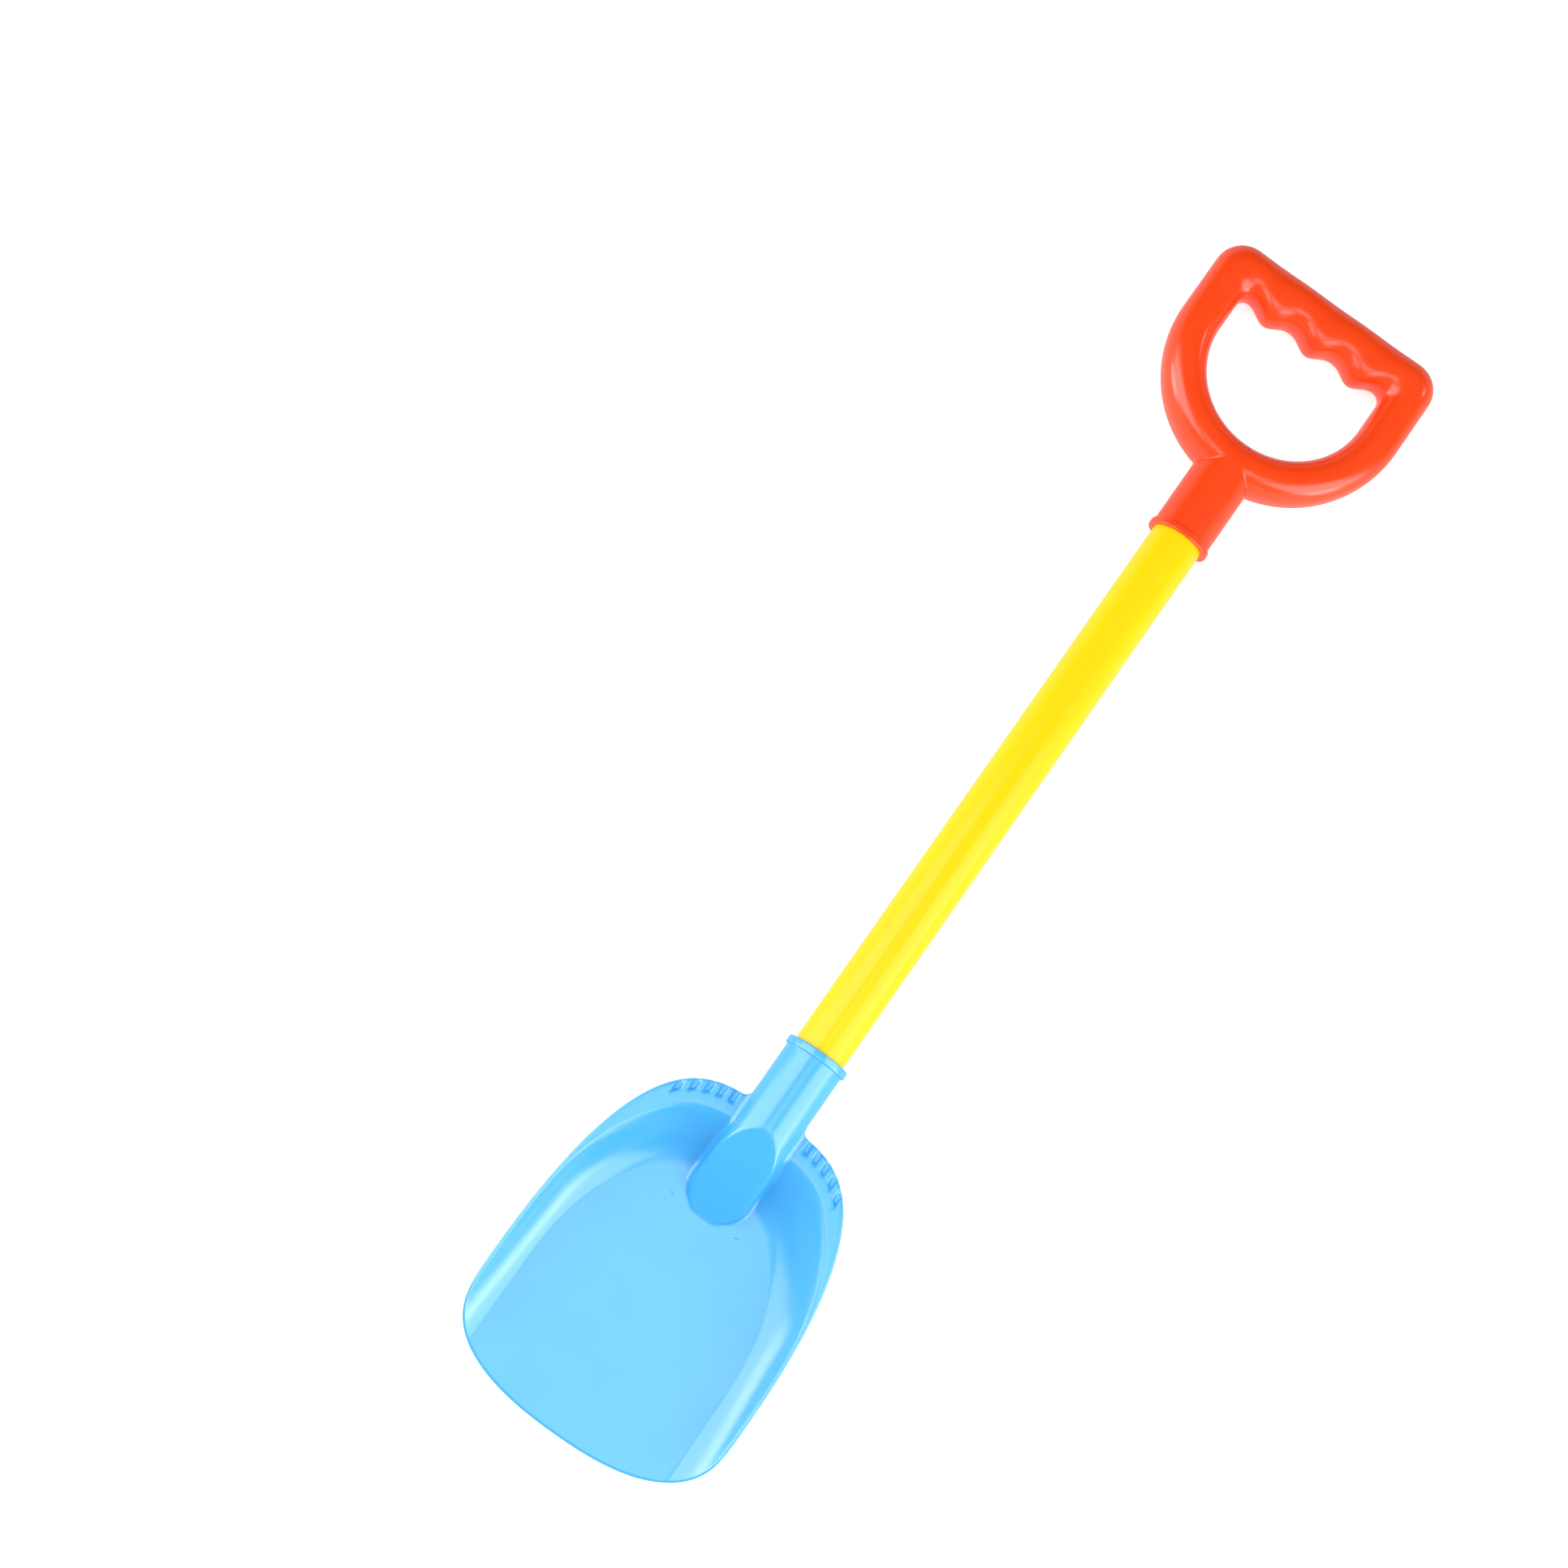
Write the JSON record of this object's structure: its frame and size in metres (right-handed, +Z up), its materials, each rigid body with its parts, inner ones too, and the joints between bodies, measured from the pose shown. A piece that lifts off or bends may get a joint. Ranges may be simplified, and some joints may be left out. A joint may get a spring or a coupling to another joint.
{
  "type": "toy sand shovel",
  "caption": "Long-handled toy sand shovel: flat-floored plastic pan with raised sides, round tube shaft and hollow D-grip with finger bumps.",
  "frame": {"origin": "on the ground under the middle of the shovel's length and width, with the shovel lying on the pan's underside and the grip's lip", "axes": "+X to the right across the pan, +Y along the shaft from the pan's tip to the grip, +Z up out of the open pan"},
  "size_m": [0.107, 0.499, 0.0246],
  "materials": {
    "pan_plastic": "glossy sky-blue moulded polypropylene",
    "tube_plastic": "glossy yellow extruded tube with faint draw lines",
    "grip_plastic": "glossy orange-red moulded plastic",
    "screw_steel": "plain zinc-plated"
  },
  "bodies": {
    "root": {"scoop": "pan_plastic", "shaft_tube": "tube_plastic", "grip_handle": "grip_plastic", "scoop_screw": "screw_steel", "grip_screw": "screw_steel"}
  },
  "joints": []
}
